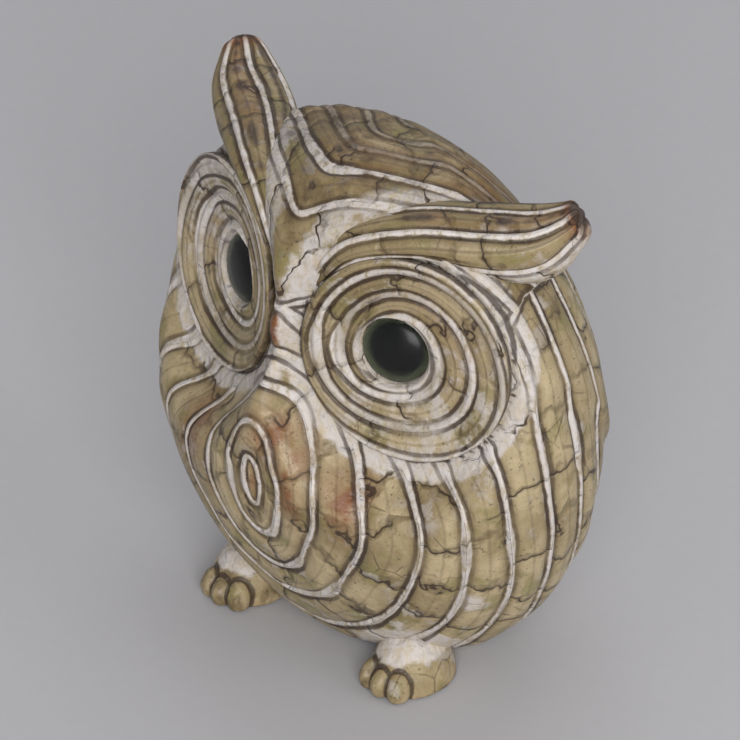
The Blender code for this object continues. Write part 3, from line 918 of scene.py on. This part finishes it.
def ring_directions(angles, turn):
    """Unit directions on rings round the belly's middle.

    A ring is stretched up and down, by a share that fades with its angle, and is nudged by
    a few slow waves so that it looks cut by hand.
    """
    s, psi = angles[:, None], turn[None, :]
    stretch = 1.0 + RING_STRETCH * np.exp(-s / RING_STRETCH_FADE) * (1.0 - s / 180.0)
    rho = s / np.sqrt(np.cos(psi) ** 2 + (np.sin(psi) / stretch) ** 2)
    nudge = (0.040 * np.sin(2 * psi + 0.9 + s / 34) + 0.030 * np.sin(3 * psi + 2.6 - s / 27)
             + 0.020 * np.sin(5 * psi + 0.4 + s / 19) + 0.012 * np.sin(8 * psi - s / 9))
    rho = np.radians(rho + np.minimum(s, 70.0) * nudge * (1.0 - s / 180.0))
    axis = np.array((0.0, -math.cos(BELLY_DROP), -math.sin(BELLY_DROP)))
    side = np.array((1.0, 0.0, 0.0))
    up = np.array((0.0, -math.sin(BELLY_DROP), math.cos(BELLY_DROP)))
    return (np.cos(rho)[..., None] * axis
            + (np.sin(rho) * np.cos(psi))[..., None] * side
            + (np.sin(rho) * np.sin(psi))[..., None] * up)


def brow_curve(side):
    """Points on a brow's centre line."""
    return smooth_path(BROW_STATIONS, BROW_CURVE_POINTS)[:, :3] * (side, 1.0, 1.0)


def curve_distance(points, curve):
    """Distance from each point to the nearest point of a curve."""
    flat = points.reshape(-1, 3)
    nearest = np.full(len(flat), 1e9)
    for place in curve:
        nearest = np.minimum(nearest, np.sum((flat - place) ** 2, axis=-1))
    return np.sqrt(nearest).reshape(points.shape[:-1])


def cap_distance(points):
    """Height above the edge of the head's cap of lines.

    The edge dips to the beak in front and falls a little to the back.
    """
    x, y, z = np.moveaxis(points, -1, 0)
    edge = CAP_EDGE_HEIGHT + np.where(y < 0.0, CAP_FALL_FRONT * y, -CAP_FALL_BACK * y)
    return z - edge - 1.2 * np.sin(x / 9.0) - 0.8 * np.sin(y / 7.0)


def body_wash(points):
    """Where whitewash gathers: round the discs, under the brows, at the feet, on the beak
    and in a few loose patches."""
    wash = np.zeros(points.shape[:-1])
    for side, _ in SIDES:
        height, radius = disc_polar(points, side)
        rim = fall_off(-height - 6.0, 8.0) * fall_off(radius - DISC_RADIUS - 1.8, 9.0)
        brow = curve_distance(points, brow_curve(side)) - 6.5
        foot = (points - (side * FOOT_X, FOOT_Y, 6.0)) / (1.0, 1.0, 1.15)
        foot = np.linalg.norm(foot, axis=-1) - 9.5
        for patch in (rim, 0.62 * fall_off(brow, 7.0), 0.75 * fall_off(foot, 9.0)):
            wash = np.maximum(wash, patch)
    for centre, size, strength in WASH_SPOTS:
        reach = np.linalg.norm(points - centre, axis=-1)
        wash = np.maximum(wash, strength * bell(reach, size))
    return wash


def body_stain(points):
    """Where reddish stain lies: soft spots on the breast, the beak, the crown and the brows'
    foot."""
    stain = np.zeros(points.shape[:-1])
    for centre, size, strength in STAIN_SPOTS:
        reach = np.sum(((points - centre) / size) ** 2, axis=-1)
        stain = np.maximum(stain, strength * np.exp(-reach))
    return stain


def body_darkening_and_shade(points):
    """Where the paint is darkened: painted shade in the gap round the disc rims, darker on the
    crown and darker towards the base.
    """
    dark = 0.6 * np.exp(-np.maximum(points[..., 2] - BASE_HEIGHT, 0.0) / 2.0)
    for side, _ in SIDES:
        height, radius = disc_polar(points, side)
        # painted shade in the moat round the disc's rim, where the disc stands proud of the body
        rim = bell(radius - DISC_RADIUS - 0.4, 0.45)
        dark = np.maximum(dark, 0.85 * rim * (height > -7.0))
    return np.maximum(dark, 0.38 * share(cap_distance(points), 4.0, 10.0))


def make_body(shape, paint):
    """The casting's outside: rays from inside the egg, cast on rings round the belly, then
    carved along its normals."""
    angles = ring_rows()
    directions = ring_directions(angles, full_turn(BODY_COLUMNS))
    rays = lean(directions * EGG_HALF_SIZES, EGG_LEAN) * BODY_RAY_REACH
    points = cast_rays(body_distance, EGG_CENTRE, rays)

    marks = (0.5, *range(1, len(RINGS) + 1), len(RINGS) + 0.5)
    row_phase = np.interp(angles, RING_STOPS, marks)
    ring_phase = np.repeat(row_phase[:, None], BODY_COLUMNS, axis=1)
    x, y, z = np.moveaxis(points, -1, 0)
    arms = np.sqrt(x ** 2 + CAP_ROUNDING)
    cap_phase = (y - CAP_SLOPE * arms + CAP_START + 1.6 * waves(x, y, z, 26.0)) / CAP_SPACING
    spacing = line_spacing(points, ring_phase)
    cap_spacing = line_spacing(points, cap_phase)
    cap = cap_distance(points)

    in_cap = cap > 0.0
    distance = np.where(in_cap, line_distance(cap_phase, cap_spacing),
                        line_distance(ring_phase, spacing))
    depth = relief(np.minimum(distance, np.abs(cap)), shape)
    for side, _ in SIDES:
        height, radius = disc_polar(points, side)
        near = fall_off(-height - 4.0, 4.0) * fall_off(radius - DISC_RADIUS - 1.6, 2.5)
        depth = depth * (1.0 - near)
    depth += 0.22 * waves(x, y, z, 13.0)
    depth = depth * share(z, BASE_HEIGHT + 1.0, 4.0) - BODY_SINK
    points = points + egg_normals(points) * depth[..., None]
    points[..., 2] = np.maximum(points[..., 2], BASE_HEIGHT)

    down_arm = 0.83 * (np.abs(x) + CAP_SLOPE * y) - 0.6 * (z - 110.0)
    carving = np.stack([past_seam(ring_phase), past_seam(cap_phase),
                        band_lengths(points, row_phase), past_seam(down_arm)], axis=-1)
    behind = share(cap_phase, 1.35, 0.4) * in_cap
    values = paint_values(spacing, spacing=spacing, cap_spacing=cap_spacing, cap=cap,
                          wash=body_wash(points), stain=body_stain(points),
                          dark=body_darkening_and_shade(points), fade=1.0 - 0.72 * behind)
    made = capped("carved_body", points, carving, values)
    settle(made, carved_paint("Body paint", shape, paint), "painted_resin", "body_casting")


# --- brows -----------------------------------------------------------------

def make_brow(side, name, shape, finish):
    """Brow and ear tuft: a lens-shaped section carried along the brow's curve.

    Each section is cosine times half width plus sine times half thickness, which is deeper
    below than above under the tuft, and closes at the tuft's tip as an ellipse does.
    """
    rows = smooth_path(BROW_STATIONS, BROW_ROWS)
    along = np.linspace(0.0, 1.0, BROW_ROWS)[:, None]
    tip = share(along, TIP_START, TIP_LENGTH)
    rows[:, 3:] *= np.sqrt(1.0 - TIP_CLOSING * tip ** 2.6)
    lengthwise = np.gradient(rows[:, :3], axis=0)
    lengthwise /= np.linalg.norm(lengthwise, axis=1)[:, None]
    width_axis = BROW_WIDTH_DIRECTION - lengthwise * (lengthwise @ BROW_WIDTH_DIRECTION)[:, None]
    width_axis /= np.linalg.norm(width_axis, axis=1)[:, None]
    up_axis = np.cross(width_axis, lengthwise)
    turn = full_turn(BROW_COLUMNS)[None, :]
    upright = np.sin(turn)
    half_height = np.where(upright < 0.0, rows[:, 5:6], rows[:, 4:5]) * upright
    half_width = rows[:, 3:4] * np.cos(turn)
    points = (rows[:, None, :3] + width_axis[:, None] * half_width[..., None]
              + up_axis[:, None] * half_height[..., None])
    degrees = np.degrees(turn)
    degrees = np.where(degrees > 270.0, degrees - 360.0, degrees)
    phase = (np.interp(degrees, BROW_LINE_ANGLES, BROW_LINE_PHASES)
             + 0.06 * np.sin(9.0 * along + 1.0) * upright)
    spacing = line_spacing(points, phase)
    depth = relief(line_distance(phase, spacing), shape)
    depth = depth * share(rows[:, 4:5], 0.0, 2.6) - 0.25
    points = points + grid_normals(points, rows[:, None, :3]) * depth[..., None]
    points = points * (side, 1.0, 1.0)

    # whitewash under the brow, at its foot, on one upper band and on the tuft's outer flank
    flank = share(along, 0.4, 0.2) * (1.0 - share(along, 0.87, 0.1))
    wash = (0.55 * bell(degrees + 90.0, 45.0) + 0.45 * bell(along, 0.10)
            + 0.28 * bell(degrees - 43.0, 16.0) + 0.5 * flank * bell(degrees + 34.0, 26.0))
    stain = np.maximum(0.5 * bell(degrees - 75.0, 18.0) * share(along, 0.3, 0.1),
                       1.1 * share(along, 0.82, 0.12))
    ridge = 0.42 + 0.2 * np.sin(along * 23.0) + 0.15 * np.sin(along * 57.0)
    dark = 0.7 * (1.0 - flank) * bell(degrees + 15.0, 6.0) + 0.8 * share(along, 0.93, 0.05)
    for line in (ridge * bell(degrees - 72.0, 13.0), 0.6 * bell(degrees - 128.0, 12.0)):
        dark = np.maximum(dark, line)
    steps = np.linalg.norm(np.diff(rows[:, :3], axis=0), axis=1)
    length = np.concatenate([[0.0], np.cumsum(steps)])[:, None] + 0.0 * phase
    carving = np.stack([past_seam(phase)] * 2 + [past_seam(length)] * 2, axis=-1)
    values = paint_values(spacing, spacing=spacing, wash=wash, stain=stain, dark=dark,
                          fade=1.0 - 0.75 * share(along, 0.86, 0.1))
    settle(capped(name, points, carving, values), finish, "painted_resin", "body_casting")


# --- facial discs and eyes -------------------------------------------------

def on_disc(local, side, shift=0.0):
    """Local points (outwards, up, out of the face) in the owl's frame, moved to the beak."""
    centre, across, up, out = disc_axes(side)
    return (centre - across * shift
            + local[..., :1] * across + local[..., 1:2] * up + local[..., 2:3] * out)


def make_disc(side, name, shape, finish):
    """Dished disc: circles that start round the eye and slide out to the rim's centre.

    The front sinks with the square of the distance from the rim; a spiral bead gains one
    spacing in each turn.
    """
    front = np.linspace(SOCKET_RADIUS, DISC_RADIUS, DISC_ROWS)
    slide = (DISC_RADIUS - front) / (DISC_RADIUS - SOCKET_RADIUS)
    socket = (SOCKET_RADIUS * 0.5, SOCKET_RADIUS - 0.05, SOCKET_RADIUS)
    back = (DISC_RADIUS, DISC_BACK_RADIUS, DISC_BACK_RADIUS * 0.5)
    radius = np.concatenate([socket, front, back])[:, None]
    slide = np.concatenate([[1.0] * 3, slide, [0.0] * 3])[:, None]
    turn = full_turn(DISC_COLUMNS)[None, :]
    x = radius * np.cos(turn) - EYE_OFFSET * slide
    y = radius * np.sin(turn)
    height = -DISH_DEPTH * (1.0 - (np.hypot(x, y) / DISC_RADIUS) ** 2)
    height[:2] = SOCKET_FLOOR
    height[2] = SOCKET_FLOOR + SOCKET_CORNER
    height[-3] = -DISC_EDGE
    height[-2:] = -DISC_THICKNESS
    phase = ((radius - SPIRAL_START) / SPIRAL_SPACING + turn / (2.0 * math.pi)
             + 0.07 * np.sin(3 * turn + 0.5) + 0.07 * np.sin(2 * turn + 2.0 + radius / 6.0))
    points = np.stack([x, y, height], axis=-1)
    spacing = line_spacing(points, phase)
    depth = relief(line_distance(phase, spacing), shape, 0.9) - 0.3
    edge = share(radius, DISC_RADIUS - 1.4, 1.4)
    lid = 0.5 * bell(radius - SOCKET_RADIUS - 0.9, 0.8)
    start = share(radius, SOCKET_RADIUS, 0.6)
    depth = depth * (1.0 - edge ** 2) + lid - 0.9 * edge ** 3 - 0.8 * (1.0 - start) ** 2
    points[3:-3, :, 2] += depth[3:-3]

    spiral = past_seam(phase, 1.0)
    length = past_seam(CRACK_REACH * turn + 0.0 * phase, CRACK_REACH * 2.0 * math.pi)
    carving = np.stack([spiral, spiral, length, length], axis=-1)
    wash = (0.34 + 0.16 * np.sin(turn * side + 2.4) + 0.40 * bell(radius - SOCKET_RADIUS, 1.6)
            + 0.35 * bell(radius - DISC_RADIUS, 1.2) * np.clip(np.sin(turn), 0, 1))
    stain = 0.25 * bell(radius - 12.0, 5.0) * np.clip(np.cos(turn - 0.6), 0, 1)
    # painted shade at the disc's outer edge, in the gap round its rim
    dark = 0.7 * bell(radius - DISC_RADIUS - 0.1, 0.35)
    fade = 0.72 + 0.28 * np.sin(turn * 2.0 + radius * 0.45 + 0.8)
    values = paint_values(spacing, spacing=spacing, wash=wash, stain=stain, dark=dark, fade=fade)
    made = capped(name, on_disc(points, side), carving, values)
    settle(made, finish, "painted_resin", name.replace("carved", "facial"))


def make_eye(side, label, glass, painted):
    """Domed glass bonded to a painted disc: both turned about the eye's axis."""
    iris_low = SOCKET_FLOOR + IRIS_LIFT
    iris_high = iris_low + IRIS_THICKNESS
    radii = np.linspace(0.3, EYE_RADIUS - 0.1, 26)
    profile = [(EYE_RADIUS * 0.5, iris_low), (EYE_RADIUS - 0.1, iris_low)]
    profile += [(r, iris_high - 0.02 * r) for r in radii[::-1]]
    rows = turned_rows(profile, EYE_COLUMNS)
    radius = np.linalg.norm(rows[..., :2], axis=-1)
    iris = capped(f"{label}_painted_iris", on_disc(rows, side, EYE_OFFSET), None,
                  {"radius": radius})
    settle(iris, painted, "eye_paint", f"{label}_eye_iris")

    low = iris_high - GLASS_SINK
    lift = np.linspace(0.0, math.pi / 2, 34)[:-1]
    profile = [(EYE_RADIUS * 0.5, low), (EYE_RADIUS - 0.3, low), (EYE_RADIUS, low + 0.3)]
    profile += [(EYE_RADIUS * math.cos(a), low + GLASS_EDGE + GLASS_CROWN * math.sin(a))
                for a in lift]
    rows = turned_rows(profile, EYE_COLUMNS)
    dome = capped(f"{label}_glass_dome", on_disc(rows, side, EYE_OFFSET))
    settle(dome, glass, "eye_glass", f"{label}_eye_glass")


# --- feet and underside ----------------------------------------------------

def foot_distances(points, side):
    """Distances outside a foot's heel and its three fanned toes."""
    heel = np.array((side * FOOT_X, FOOT_Y, BASE_HEIGHT))
    parts = [ellipsoid_distance(points - heel, FOOT_HALF_SIZES)]
    for step in (-1, 0, 1):
        fan = TOE_FAN * step
        centre = (heel[0] + TOE_REACH * math.sin(fan), heel[1] - TOE_REACH * math.cos(fan),
                  TOE_CENTRE_HEIGHT)
        x, y, z = np.moveaxis(points - centre, -1, 0)
        turned = np.stack([x * math.cos(fan) + y * math.sin(fan),
                           y * math.cos(fan) - x * math.sin(fan), z], axis=-1)
        parts.append(ellipsoid_distance(turned, TOE_HALF_SIZES))
    return parts


def foot_distance(points, side):
    """The foot's heel and toes, softly joined."""
    shape, *toes = foot_distances(points, side)
    for toe in toes:
        shape = soft_min(shape, toe, TOE_BLEND)
    return shape


def make_foot(side, label, finish):
    """Foot: rays from its middle, halved onto the joined heel and toes."""
    fall = np.linspace(0.02, math.pi - 0.02, FOOT_ROWS)[:, None]
    turn = full_turn(FOOT_COLUMNS)[None, :]
    directions = np.stack([np.sin(fall) * np.cos(turn), np.sin(fall) * np.sin(turn),
                           np.cos(fall) + 0.0 * turn], axis=-1)
    forward, height = FOOT_RAY_START
    start = np.array((side * FOOT_X, FOOT_Y + forward, height))
    points = cast_rays(lambda place: foot_distance(place, side), start,
                       directions * FOOT_RAY_REACH)
    x, y, z = np.moveaxis(points, -1, 0)
    nearest = np.sort(np.stack(foot_distances(points, side)), axis=0)
    crease = bell(nearest[1] - nearest[0], 0.55)
    depth = 0.2 * waves(x, y, z, 5.0) - 0.35 * crease
    points = points + grid_normals(points, start) * depth[..., None]
    points[..., 2] = np.maximum(points[..., 2], BASE_HEIGHT)
    low = np.exp(-np.maximum(z - BASE_HEIGHT, 0.0) / 1.2)
    values = paint_values(z, wash=0.8 * share(z, 6.5, 3.0) + 0.26 + 0.25 * waves(x, y, z, 7.0),
                          stain=0.25 * low, dark=np.maximum(0.95 * crease, 0.5 * low))
    settle(capped(f"{label}_carved_foot", points, None, values), finish, "painted_resin",
           f"{label}_foot")


def make_pad(node, name, finish):
    """Round felt pad with softened edges, sized from its node's box."""
    low, high = (np.array(corner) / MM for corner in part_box(node))
    centre = (low + high) / 2
    radius = (high[0] - low[0]) / 2
    thick = high[2] - low[2]
    corner = np.linspace(0.0, math.pi / 2, 6)
    sines, cosines = PAD_EDGE * np.sin(corner), PAD_EDGE * np.cos(corner)
    inner = radius - PAD_EDGE
    profile = [(radius * 0.5, 0.0), *zip(inner + sines, PAD_EDGE - cosines),
               *zip(inner + cosines, thick - PAD_EDGE + sines), (radius * 0.5, thick)]
    bottom = np.array((centre[0], centre[1], low[2]))
    rows = turned_rows(profile, PAD_COLUMNS) + bottom
    made = surface(name, rows, first=bottom, last=(centre[0], centre[1], high[2]))
    settle(made, finish, "felt", node)


# --- operators -------------------------------------------------------------

class OWL_OT_body(bpy.types.Operator):
    """Build the carved body with its head and beak"""

    bl_idname = "owl.body"
    bl_label = "Carved body"

    def execute(self, context):
        scene = context.scene
        make_body(scene.owl_shape, scene.owl_paint)
        return {"FINISHED"}


class OWL_OT_brows(bpy.types.Operator):
    """Build both brows with their ear tufts"""

    bl_idname = "owl.brows"
    bl_label = "Brows and tufts"

    def execute(self, context):
        scene = context.scene
        finish = carved_paint("Brow paint", scene.owl_shape, scene.owl_paint, 1.1, 0.3, 0.5)
        for side, label in SIDES:
            make_brow(side, f"{label}_brow", scene.owl_shape, finish)
        return {"FINISHED"}


class OWL_OT_discs(bpy.types.Operator):
    """Build both facial discs"""

    bl_idname = "owl.discs"
    bl_label = "Facial discs"

    def execute(self, context):
        scene = context.scene
        finish = carved_paint("Disc paint", scene.owl_shape, scene.owl_paint, 1.2, 0.25)
        for side, label in SIDES:
            make_disc(side, f"{label}_carved_disc", scene.owl_shape, finish)
        return {"FINISHED"}


class OWL_OT_eyes(bpy.types.Operator):
    """Build the glass eyes and their painted discs"""

    bl_idname = "owl.eyes"
    bl_label = "Eyes"

    def execute(self, context):
        glass = eye_glass_material()
        painted = eye_paint(context.scene.owl_paint)
        for side, label in SIDES:
            make_eye(side, label, glass, painted)
        return {"FINISHED"}


class OWL_OT_feet(bpy.types.Operator):
    """Build both feet"""

    bl_idname = "owl.feet"
    bl_label = "Feet"

    def execute(self, context):
        scene = context.scene
        finish = carved_paint("Foot paint", scene.owl_shape, scene.owl_paint, 0.7, 0.0)
        for side, label in SIDES:
            make_foot(side, label, finish)
        return {"FINISHED"}


class OWL_OT_underside(bpy.types.Operator):
    """Build the felt pads and finish the plug"""

    bl_idname = "owl.underside"
    bl_label = "Pads and plug"

    def execute(self, context):
        felt = felt_material(context.scene.owl_paint)
        for node in ("base_pad", "left_foot_pad", "right_foot_pad"):
            make_pad(node, f"felt_{node}", felt)
        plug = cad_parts["base_plug"]
        plug.data.materials.clear()
        plug.data.materials.append(plug_material())
        return {"FINISHED"}


class OWL_OT_stage(bpy.types.Operator):
    """Set the floor, the lights and the camera"""

    bl_idname = "owl.stage"
    bl_label = "Floor, lights and camera"

    def execute(self, context):
        scene = context.scene
        make_floor()
        make_lights(scene)
        make_camera(scene, scene.owl_stage)
        return {"FINISHED"}


# --- stage -----------------------------------------------------------------

def make_floor():
    """A wide flat sheet on z = 0."""
    rings = [(FLOOR_INNER_RADIUS / MM * FLOOR_RING_RATIO ** k, 0.0) for k in range(FLOOR_RINGS)]
    rows = turned_rows(rings, FLOOR_COLUMNS)
    made = surface("floor", rows, first=(0.0, 0.0, 0.0))
    made.data.materials.append(floor_material())


def add_area(name, place, size, power, colour):
    """A square soft light at a place, aimed at the owl's middle."""
    lamp = bpy.data.lights.new(name, "AREA")
    lamp.shape = "SQUARE"
    lamp.size = size
    lamp.energy = power
    lamp.color = colour
    made = bpy.data.objects.new(name, lamp)
    made.location = place
    aim = LIGHT_AIM - Vector(place)
    made.rotation_euler = aim.to_track_quat("-Z", "Y").to_euler()
    bpy.context.scene.collection.objects.link(made)


def make_lights(scene):
    """A key in front, a weak light from the side, one overhead and a pale surround."""
    for light in LIGHTS:
        add_area(*light)
    world = bpy.data.worlds.new("surround")
    world.use_nodes = True
    feed(world.node_tree, world.node_tree.nodes["Background"],
         {"Color": SURROUND_COLOUR, "Strength": SURROUND_STRENGTH})
    scene.world = world
    scene.view_settings.view_transform = "Standard"


def make_camera(scene, stage):
    """A long lens in front of the owl's left shoulder, looking down."""
    a, e = stage.azimuth, stage.elevation
    right = Vector((math.cos(a), math.sin(a), 0.0))
    back = Vector((math.sin(a) * math.cos(e), -math.cos(a) * math.cos(e), math.sin(e)))
    up = back.cross(right)
    lens = bpy.data.cameras.new("camera")
    lens.sensor_width = 36.0
    lens.lens = lens.sensor_width * stage.distance / stage.view_width
    lens.clip_end = 100.0
    made = bpy.data.objects.new("camera", lens)
    target = CAMERA_AIM + right * AIM_RIGHT + up * AIM_UP
    made.matrix_world = Matrix.Translation(target + back * stage.distance) @ Matrix(
        (right, up, back)).transposed().to_4x4()
    scene.collection.objects.link(made)
    scene.camera = made


class OWL_PT_panel(bpy.types.Panel):
    """The owl's operators and settings"""

    bl_idname = "OWL_PT_panel"
    bl_label = "Owl figurine"
    bl_space_type = "VIEW_3D"
    bl_region_type = "UI"
    bl_category = "Owl"

    def draw(self, context):
        for step in STEPS:
            self.layout.operator(step.bl_idname)
        for group in (context.scene.owl_shape, context.scene.owl_paint, context.scene.owl_stage):
            box = self.layout.box()
            for key in group.bl_rna.properties.keys():
                if key not in {"rna_type", "name"}:
                    box.prop(group, key)


STEPS = (OWL_OT_body, OWL_OT_brows, OWL_OT_discs, OWL_OT_eyes, OWL_OT_feet,
         OWL_OT_underside, OWL_OT_stage)
CLASSES = (OwlShape, OwlPaint, OwlStage, *STEPS, OWL_PT_panel)


def register():
    for item in CLASSES:
        bpy.utils.register_class(item)
    bpy.types.Scene.owl_shape = bpy.props.PointerProperty(type=OwlShape)
    bpy.types.Scene.owl_paint = bpy.props.PointerProperty(type=OwlPaint)
    bpy.types.Scene.owl_stage = bpy.props.PointerProperty(type=OwlStage)


def unregister():
    del bpy.types.Scene.owl_stage
    del bpy.types.Scene.owl_paint
    del bpy.types.Scene.owl_shape
    for item in reversed(CLASSES):
        bpy.utils.unregister_class(item)


def main():
    """Register and build every piece in order."""
    register()
    bpy.ops.owl.body()
    bpy.ops.owl.brows()
    bpy.ops.owl.discs()
    bpy.ops.owl.eyes()
    bpy.ops.owl.feet()
    bpy.ops.owl.underside()
    bpy.ops.owl.stage()
    bpy.context.view_layer.update()


if __name__ == "__main__":
    main()
